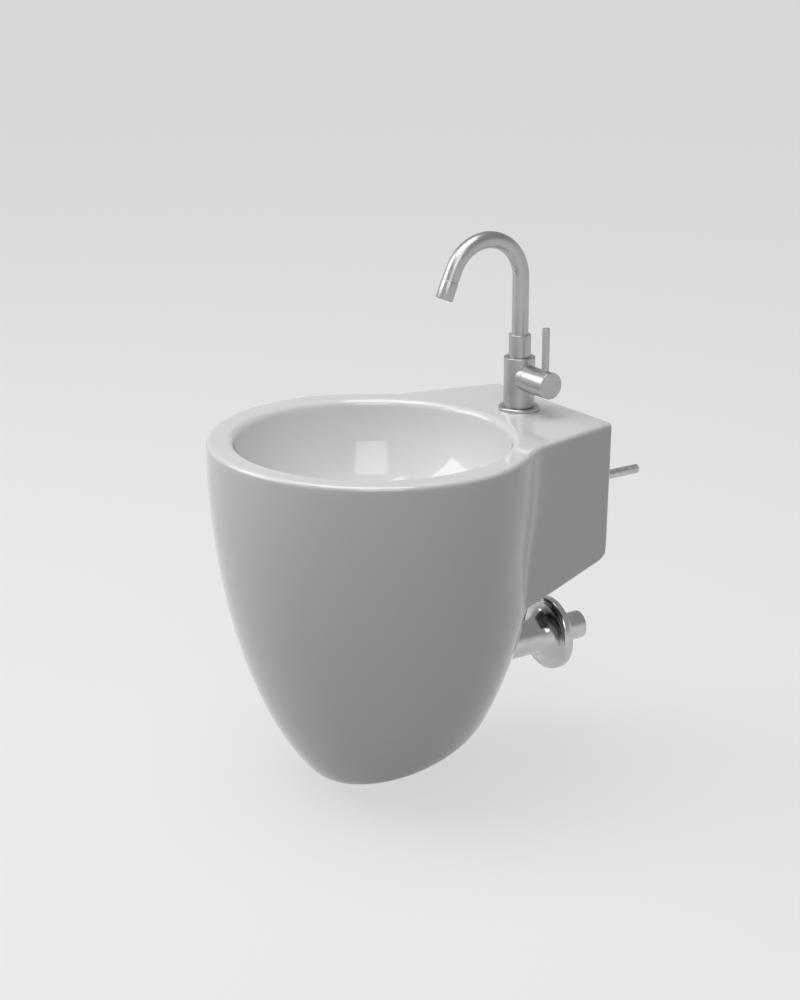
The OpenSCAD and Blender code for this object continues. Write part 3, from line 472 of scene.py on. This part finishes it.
class Wall:
    """The outer or the inner face of the ceramic's side."""

    def __init__(self, inset, back_in, top):
        self.inset = inset
        self.r = EGG_R - inset
        self.h = EGG_DEPTH - inset
        self.back_in = back_in
        self.top = top
        self.low = [underside_depth(k, self.r, self.h, inset, back_in) for k in range(HALF_COLUMNS + 1)]
        self.foot = self.low[CREASE]
        self.foot_r = egg_r(self.foot, self.r, self.h)

    def upper(self, f, extra_in=0.0, depth=None):
        """Ring between the top and the underside: f of the way down."""
        ring = []
        for k in range(HALF_COLUMNS + 1):
            d = self.top + f * (self.low[k] - self.top) if depth is None else depth
            r = egg_r(d, self.r, self.h) - extra_in
            x, y = on_outline(k, r, d, self.inset + extra_in, self.back_in + extra_in)
            ring.append((x, y, RIM_Z - d))
        return ring

    def lower(self, f):
        """Ring on the egg alone, from the underside down to the rounded end."""
        ring = []
        for k in range(HALF_COLUMNS + 1):
            a = egg_angle(k, self.foot_r, self.foot, self.inset)
            start = self.foot
            if k < CREASE:
                start = ledge_drop(on_egg(self.foot_r, a, self.foot)[1])
            d = start + (self.end_depth(a) - start) * f
            x, y = on_egg(egg_r(d, self.r, self.h), a, d)
            ring.append((x, y, RIM_Z - d))
        return ring

    def end_depth(self, a):
        depth = END_DROP
        for _ in range(60):
            r = egg_r(depth, self.r, self.h)
            depth = 0.5 * depth + 0.5 * (END_DROP - self.inset - math.tan(END_TILT) * r * math.cos(a))
        return depth

    def dome(self, w, rise, hole_r):
        """Ring on the rounded end, w of the way from its edge to the hole."""
        ring = []
        for k in range(HALF_COLUMNS + 1):
            a = egg_angle(k, self.foot_r, self.foot, self.inset)
            r = egg_r(self.end_depth(a), self.r, self.h)
            edge = (r * math.sin(a), AXIS_Y + r * math.cos(a))
            hole = (hole_r * math.sin(a), BOWL_Y + hole_r * math.cos(a))
            x, y = toward(edge, hole, w)
            s = math.hypot(x, y - AXIS_Y) / r
            z = RIM_Z - END_DROP + math.tan(END_TILT) * (y - AXIS_Y) - END_DOME * (1 - s ** 3)
            ring.append((x, y, z + self.inset + rise))
        return ring


def round_ring(r, depth):
    """Ring about the bowl's axis."""
    ring = []
    for k in range(HALF_COLUMNS + 1):
        a = math.pi * k / HALF_COLUMNS
        ring.append((r * math.sin(a), BOWL_Y + r * math.cos(a), RIM_Z - depth))
    return ring


def between(a, b, w):
    return [toward(u, v, w) for u, v in zip(a, b)]


def ceramic_rings():
    """All rings of the cage, going round from the drain by the outside and back by the inside."""
    outer = Wall(0.0, 0.0, FIRST_BELOW_BRIM)
    inner = Wall(CERAMIC_T, BACK_T, RIM_T)
    rings = []
    for r, depth in DRAIN_RINGS:
        rings.append(round_ring(r, depth))
    for a in BOWL_STEPS:
        depth = BOWL_DEPTH * math.sin(math.radians(a))
        rings.append(round_ring(bowl_r(depth), depth))
    # Mouth, rounded over on to the flat top
    for r, z in rounded(MOUTH_R + MOUTH_ROUND, -MOUTH_ROUND, MOUTH_ROUND, 180, 90, 6):
        rings.append(round_ring(r, -z))
    mouth = round_ring(MOUTH_R + MOUTH_ROUND, 0.0)
    brim = outer.upper(0, extra_in=BRIM_ROUND, depth=0.0)
    for w in TOP_STEPS:
        rings.append(between(mouth, brim, w))
    for a in BRIM_STEPS:
        s, c = math.sin(math.radians(a)), math.cos(math.radians(a))
        rings.append(outer.upper(0, extra_in=BRIM_ROUND * (1 - c), depth=BRIM_ROUND * (1 - s)))
    for f in SIDE_STEPS:
        rings.append(outer.upper(f))
    outer_gap = len(rings) - 1
    for f in EGG_STEPS:
        rings.append(outer.lower(f))
    for w in END_STEPS:
        rings.append(outer.dome(w, 0.0, END_HOLE_R + 1.0))
    for rise, r in HOLE_RINGS:
        rings.append(outer.dome(1.0, rise, r))
    # The inner face, back up to the underside of the bowl
    for w in INNER_END_STEPS:
        rings.append(inner.dome(w, 0.0, END_HOLE_R + 1.0))
    for f in INNER_EGG_STEPS:
        rings.append(inner.lower(f))
    inner_gap = len(rings) - 1
    for f in INNER_SIDE_STEPS:
        rings.append(inner.upper(f))
    ceiling = inner.upper(0)
    back_r, back_depth = MOUTH_R + CERAMIC_T, BOWL_DEPTH + CERAMIC_T
    neck = round_ring(bowl_r(RIM_T, back_r, back_depth), RIM_T)
    rings.append(between(ceiling, neck, 0.5))
    rings.append(neck)
    for a in BOWL_BACK_STEPS:
        depth = back_depth * math.sin(math.radians(a))
        rings.append(round_ring(bowl_r(depth, back_r, back_depth), depth))
    for r, depth in BOSS_RINGS:
        rings.append(round_ring(r, depth))
    return rings, outer_gap, inner_gap


def make_ceramic():
    """A torus whose rings are put in their places, since no operator draws this blend of forms."""
    rings, outer_gap, inner_gap = ceramic_rings()
    columns, count = 2 * HALF_COLUMNS, len(rings)
    nothing_selected()
    bpy.ops.mesh.primitive_torus_add(major_segments=columns, minor_segments=count,
                                     major_radius=2, minor_radius=1)
    obj = bpy.context.object
    bpy.ops.object.mode_set(mode="EDIT")
    bm = bmesh.from_edit_mesh(obj.data)
    column, level = {}, {}
    for v in bm.verts:
        i = round(math.atan2(v.co.y, v.co.x) * columns / math.tau) % columns
        j = round(math.atan2(v.co.z, math.hypot(v.co.x, v.co.y) - 2) * count / math.tau) % count
        side, k = (1, i) if i <= HALF_COLUMNS else (-1, columns - i)
        x, y, z = rings[j][k]
        v.co = (side * x * MM, y * MM, z * MM)
        column[v], level[v] = k, j
    for f in bm.faces:
        levels = {level[v] for v in f.verts}
        back = min(column[v] for v in f.verts) < CREASE
        f.select = back and (levels == {outer_gap, outer_gap + 1} or levels == {inner_gap, inner_gap + 1})
    bmesh.update_edit_mesh(obj.data)
    # The ledge is open below, so the two faces of its wall are joined round the opening
    bpy.ops.mesh.select_mode(type="FACE")
    bpy.ops.mesh.delete(type="FACE")
    bpy.ops.mesh.select_mode(type="VERT")
    bpy.ops.mesh.select_all(action="SELECT")
    bpy.ops.mesh.remove_doubles(threshold=2e-5)
    bpy.ops.mesh.select_all(action="DESELECT")
    bpy.ops.mesh.select_mode(type="EDGE")
    bpy.ops.mesh.select_non_manifold(extend=False, use_wire=False, use_boundary=True,
                                     use_multi_face=False, use_non_contiguous=False, use_verts=False)
    bpy.ops.mesh.bridge_edge_loops()
    bpy.ops.mesh.select_all(action="SELECT")
    bpy.ops.mesh.normals_make_consistent(inside=False)
    bpy.ops.object.mode_set(mode="OBJECT")
    apply_modifier(obj, "SUBSURF", levels=1, render_levels=1)
    return obj


def cylinder(r, h, segments=64):
    return turned([(r, 0), (r, h)], segments=segments)


def dress_ceramic():
    obj = make_ceramic()
    past = 2.0
    below, above = RIM_T + 10, 8.0
    cut_away(obj, place(cylinder(TAP_HOLE_R, below + above), 0, TAP_Y, RIM_Z - below))
    for side in (-1, 1):
        bolt_hole = cylinder(BOLT_HOLE_R, BACK_T + 2 * past)
        cut_away(obj, place(bolt_hole, side * BOLT_X, -BACK_T - past, 0, turn_x=math.radians(-90)))
    # The slot behind the trap, round below the pipe and straight above it
    run = -AXIS_Y - SLOT_BACK
    cut_away(obj, place(cylinder(SLOT_R, run, 96), 0, AXIS_Y, OUTLET_Z, turn_x=math.radians(-90)))
    nothing_selected()
    low, high = OUTLET_Z, RIM_Z - LEDGE_H
    bpy.ops.mesh.primitive_cube_add(size=1, location=(0, (AXIS_Y + run / 2) * MM, (low + high) / 2 * MM),
                                    scale=(2 * SLOT_R * MM, run * MM, (high - low) * MM))
    cut_away(obj, bpy.context.object)
    painted(obj, GLAZE)
    return finished(obj, "glazed_basin", "basin", "ceramic", "basin_body")


dress_ceramic()


# The tap

TAP_Z = RIM_Z
SEAL_T, BASE_T = 0.8, 3.0
SEAL_R = 21.0
BASE_R = 22.5
BASE_CHAMFER = 1.1
BODY_R = 17.0
BODY_TOP = 58.8
COLLAR_R = 12.0
COLLAR_TOP = 83.6
COLLAR_NECK_R = 10.0
SHANK_HOLE_R = 12.1
LEVER_Z = 37.0
SIDE_R = 14.5
HUB_START = 19.0
HUB_REACH = 55.0
PIN_X = 45.0
PIN_R = 4.0
PIN_TOP = 61.5
SPOUT_R = 9.0
SPOUT_T = 2.0


def tap_base():
    skirt = SEAL_T - 0.1
    skirt_r = SEAL_R + 0.3
    foot = BASE_T - BASE_CHAMFER
    ring = turned([(SHANK_HOLE_R, 0), (skirt_r, 0), (skirt_r, -skirt), (BASE_R - 0.2, -skirt),
                   (BASE_R, 0.2 - skirt), (BASE_R, foot - 0.1), (BASE_R - 0.1, foot + 0.1),
                   (BASE_R - BASE_CHAMFER + 0.1, BASE_T - 0.1), (BASE_R - BASE_CHAMFER - 0.1, BASE_T),
                   (BODY_R + 0.6, BASE_T - 0.15), (SHANK_HOLE_R, BASE_T - 0.15), (SHANK_HOLE_R, 0)],
                  closed=True)
    painted(place(ring, 0, TAP_Y, TAP_Z + SEAL_T), SATIN)
    finished(ring, "base_ring", "basin", "satin_metal", "tap_base_ring")


def tap_body():
    low = SEAL_T + BASE_T
    edge = 0.9
    shank_seat, collar_seat = 18, 8.1
    shell_r, shell_start = 8.6, -6
    body = turned([(BODY_R - 0.4, low), (BODY_R, low + 0.4)]
                  + rounded(BODY_R - edge, BODY_TOP - edge, edge, 0, 90, 5))
    side_end = HUB_START - 0.3
    side = turned([(SIDE_R, 0), (SIDE_R, side_end - 0.3), (SIDE_R - 0.3, side_end)])
    place(side, 0, 0, LEVER_Z, turn_y=math.radians(90))
    cut_away(body, side, "UNION")
    cut_away(body, place(cylinder(SHANK_HOLE_R, shank_seat + 1), 0, 0, low - 1))
    cut_away(body, place(cylinder(COLLAR_NECK_R + 0.1, 10), 0, 0, BODY_TOP - collar_seat))
    cut_away(body, place(cylinder(shell_r, 40), shell_start, 0, LEVER_Z, turn_y=math.radians(90)))
    painted(place(body, 0, TAP_Y, TAP_Z), SATIN)
    finished(body, "tap_barrel", "basin", "satin_metal", "tap_body")


def tap_collar():
    edge, neck_end, shoulder = 0.8, BODY_TOP - 8, BODY_TOP + 3
    mouth_r, bore_r, neck_bore_r = 10.15, SPOUT_R + 0.05, 7.0
    ring = turned([(COLLAR_NECK_R, neck_end), (COLLAR_NECK_R, BODY_TOP), (COLLAR_R - 0.2, BODY_TOP),
                   (COLLAR_R, BODY_TOP + 0.2)]
                  + rounded(COLLAR_R - edge, COLLAR_TOP - edge, edge, 0, 90, 4)
                  + [(mouth_r, COLLAR_TOP), (mouth_r, COLLAR_TOP - 3), (bore_r, COLLAR_TOP - 3),
                     (bore_r, shoulder), (neck_bore_r, shoulder), (neck_bore_r, neck_end),
                     (COLLAR_NECK_R, neck_end)], closed=True)
    painted(place(ring, 0, TAP_Y, TAP_Z), SATIN)
    finished(ring, "spout_collar_turned", "basin", "satin_metal", "spout_collar")


BEND_Z = 145.0
BEND_R = 46.7
SWEEP = 157.0
SPOUT_END = 11.0
AERATOR_L = 20.0
BUSH_TOP = COLLAR_TOP - 3.6


def at_spout_end(obj):
    """Puts a piece drawn along z at the end of the bend, z pointing back up the spout."""
    a = math.radians(SWEEP)
    return place(obj, 0, TAP_Y - BEND_R + BEND_R * math.cos(a), TAP_Z + BEND_Z + BEND_R * math.sin(a),
                 turn_x=a - math.pi)


def spout():
    """One tube: drawn up from the collar, spun over the bend and drawn out to the aerator."""
    nothing_selected()
    bpy.ops.mesh.primitive_circle_add(vertices=64, radius=SPOUT_R * MM, location=(0, 0, 0))
    obj = bpy.context.object
    bpy.ops.object.mode_set(mode="EDIT")
    bpy.ops.mesh.select_mode(type="VERT")
    bpy.ops.mesh.select_all(action="SELECT")
    bpy.ops.transform.translate(value=(0, TAP_Y * MM, (TAP_Z + BUSH_TOP) * MM))
    bpy.ops.mesh.select_mode(type="EDGE")
    rise = (BEND_Z - BUSH_TOP) / 4
    for _ in range(4):
        bpy.ops.mesh.extrude_edges_move(TRANSFORM_OT_translate={"value": (0, 0, rise * MM)})
    bpy.ops.mesh.spin(steps=56, dupli=False, angle=-math.radians(SWEEP),
                      center=(0, (TAP_Y - BEND_R) * MM, (TAP_Z + BEND_Z) * MM), axis=(1, 0, 0))
    a = math.radians(SWEEP)
    away = (0, -math.sin(a), math.cos(a))
    edge = 0.35
    for length in (SPOUT_END - edge, edge):
        bpy.ops.mesh.extrude_edges_move(TRANSFORM_OT_translate={"value": [c * length * MM for c in away]})
    end = [0, (TAP_Y - BEND_R + BEND_R * math.cos(a)) * MM + away[1] * SPOUT_END * MM,
           (TAP_Z + BEND_Z + BEND_R * math.sin(a)) * MM + away[2] * SPOUT_END * MM]
    slim = 1 - 0.3 / SPOUT_R
    bpy.ops.transform.resize(value=(slim, slim, slim), center_override=end)
    bpy.ops.mesh.select_all(action="SELECT")
    bpy.ops.mesh.remove_doubles(threshold=1e-6)
    bpy.ops.mesh.normals_make_consistent(inside=False)
    bpy.ops.object.mode_set(mode="OBJECT")
    apply_modifier(obj, "SOLIDIFY", thickness=SPOUT_T * MM, offset=-1)
    painted(obj, SATIN)
    finished(obj, "spout_bent", "spout", "satin_metal", "spout_tube", "spout_end_piece")


def aerator():
    r, mouth_r, plug_r, bore_r = 9.4, 8.1, 6.8, 5.0
    plug_end, insert_end = AERATOR_L + 6, 17
    ring = turned([(mouth_r, 0)] + rounded(r - 0.6, 0.6, 0.6, -90, 0, 3)
                  + rounded(r - 0.4, AERATOR_L - 0.4, 0.4, 0, 90, 3)
                  + [(plug_r, AERATOR_L), (plug_r, plug_end), (bore_r, plug_end), (bore_r, insert_end),
                     (mouth_r, insert_end), (mouth_r, 0)], closed=True)
    place(ring, 0, 0, -SPOUT_END - AERATOR_L)
    painted(at_spout_end(ring), SATIN)
    finished(ring, "aerator_sleeve", "spout", "satin_metal", "aerator_housing")


def lever():
    edge = 0.7
    shell_r, shell_end = 12.0, 15.5
    spindle_r, spindle_end = 4.1, 21
    foot_r, foot_low, foot_top = 2.5, 0.1, 13.9
    hub = turned([(shell_r, HUB_START), (SIDE_R - 0.3, HUB_START), (SIDE_R, HUB_START + 0.3)]
                 + rounded(SIDE_R - edge, HUB_REACH - edge, edge, 0, 90, 4))
    cut_away(hub, place(cylinder(shell_r, shell_end + 1), 0, 0, HUB_START - 1))
    cut_away(hub, place(cylinder(spindle_r, 7), 0, 0, HUB_START + spindle_end - 7))
    place(hub, 0, 0, 0, turn_y=math.radians(90))
    painted(place(hub, 0, TAP_Y, TAP_Z + LEVER_Z), SATIN_LEVER)
    finished(hub, "lever_barrel", "lever", "satin_metal", "lever_hub")
    pin = turned([(foot_r, foot_low), (foot_r, foot_top), (PIN_R, foot_top)]
                 + rounded(PIN_R - 0.5, PIN_TOP - 0.5, 0.5, 0, 90, 3), segments=64)
    painted(place(pin, PIN_X, TAP_Y, TAP_Z + LEVER_Z), SATIN)
    finished(pin, "lever_rod", "lever", "satin_metal", "lever_pin")


tap_base()
tap_body()
tap_collar()
spout()
aerator()
lever()


# Waste: the rosette with its long neck

def rosette():
    """Trumpet from the long neck out to the thick rounded rim, in one turning."""
    rim_r, neck_r, neck_l, edge = 42.0, 20.0, 112.0, 11.0
    flare_r, rim_round, bore_r = 20.0, 5.5, 16.1
    rings = [(bore_r, 0.2), (bore_r, neck_l - 0.3), (bore_r + 0.3, neck_l)]
    rings += rounded(neck_r - 0.8, neck_l - 0.8, 0.8, 90, 0, 4)
    rings += rounded(neck_r + flare_r, edge + 0.05 + flare_r, flare_r, 180, 262, 14)
    rings += rounded(rim_r - rim_round, edge - rim_round, rim_round, 80, 0, 7)
    rings += [(rim_r, 0.6), (rim_r - 0.6, 0), (bore_r + 0.3, 0), (bore_r, 0.2)]
    ring = turned(rings, closed=True, segments=128)
    painted(place(ring, 0, 0, OUTLET_Z, turn_x=math.radians(90)), CHROME)
    finished(ring, "neck_and_rosette", "basin", "chrome", "wall_rosette", angle=50)


rosette()


# Floor, light and camera

FLOOR_SEEN = 0.6
ROOM_FILL = 0.11
HORIZON_SEEN = 0.76
CEILING_SEEN = 0.38
CEILING_START = 0.45


def seen(tree, low, high):
    """A strength: low as light on the object, high where it is seen, also in metal and glaze."""
    path = tree.nodes.new("ShaderNodeLightPath")
    total = path.outputs["Is Camera Ray"]
    for kind in ("Is Glossy Ray", "Is Transmission Ray"):
        add = tree.nodes.new("ShaderNodeMath")
        add.operation = "MAXIMUM"
        tree.links.new(total, add.inputs[0])
        tree.links.new(path.outputs[kind], add.inputs[1])
        total = add.outputs[0]
    node = tree.nodes.new("ShaderNodeMapRange")
    node.inputs["To Min"].default_value = low
    node.inputs["To Max"].default_value = high
    tree.links.new(total, node.inputs["Value"])
    return node.outputs["Result"]


def stage():
    nothing_selected()
    low = min(cad_box[0].z, cad_box[1].z)
    bpy.ops.mesh.primitive_plane_add(size=60, location=(0, 0, low - 0.002))
    floor = bpy.context.object
    floor.name = "floor"
    mat, tree, shader, where = new_material("pale_floor", (0.24, 0.24, 0.24), 0.6)
    drift = noise(tree, where, 0.6)
    tree.links.new(tinted(tree, ranged(tree, drift, 0, 1), (0.237, 0.237, 0.237), (0.243, 0.243, 0.243)),
                   shader.inputs["Base Color"])
    shader.inputs["Emission Color"].default_value = (1, 1, 1, 1)
    tree.links.new(seen(tree, 0.0, FLOOR_SEEN), shader.inputs["Emission Strength"])
    painted(floor, mat)


def lamp(name, azimuth, height, distance, size, power):
    """A soft panel facing the basin; azimuth 0 is in front of it, 90 on its lever side."""
    nothing_selected()
    a, h = math.radians(azimuth), math.radians(height)
    centre = Vector((0, -0.2, 0))
    away = Vector((math.sin(a) * math.cos(h), -math.cos(a) * math.cos(h), math.sin(h)))
    bpy.ops.object.light_add(type="AREA", location=centre + away * distance)
    light = bpy.context.object
    light.name = name
    light.data.shape = "RECTANGLE"
    light.data.size, light.data.size_y = size
    light.data.energy = power
    light.rotation_euler = away.to_track_quat("Z", "Y").to_euler()
    return light


def studio():
    world = bpy.data.worlds.new("pale_room")
    bpy.context.scene.world = world
    world.use_nodes = True
    tree = world.node_tree
    back = tree.nodes["Background"]
    back.inputs["Color"].default_value = (0.92, 0.92, 0.92, 1)
    # Pale as the floor at the horizon, a little darker overhead
    direction = tree.nodes.new("ShaderNodeTexCoord")
    parts = tree.nodes.new("ShaderNodeSeparateXYZ")
    tree.links.new(direction.outputs["Generated"], parts.inputs["Vector"])
    fade = tree.nodes.new("ShaderNodeMapRange")
    fade.interpolation_type = "SMOOTHSTEP"
    fade.inputs["From Min"].default_value = 0.0
    fade.inputs["From Max"].default_value = CEILING_START
    fade.inputs["To Min"].default_value = HORIZON_SEEN
    fade.inputs["To Max"].default_value = CEILING_SEEN
    tree.links.new(parts.outputs["Z"], fade.inputs["Value"])
    shown = seen(tree, ROOM_FILL, CEILING_SEEN)
    tree.links.new(fade.outputs["Result"], shown.node.inputs["To Max"])
    tree.links.new(shown, back.inputs["Strength"])
    lamp("overhead", -20, 80, 2.4, (1.8, 1.8), 35)
    lamp("left_panel", -42, 34, 2.8, (2.0, 1.4), 26)
    lamp("front_panel", 57, 38, 3.2, (1.5, 2.2), 19)


def camera():
    nothing_selected()
    bpy.ops.object.camera_add(location=(1.98689, -1.59914, 0.77656),
                              rotation=(math.radians(72.13), 0, math.radians(55)))
    cam = bpy.context.object
    cam.data.lens = 86.4
    cam.data.sensor_width = 36
    bpy.context.scene.camera = cam


camera()
stage()
studio()
bpy.context.scene.view_settings.view_transform = "Standard"
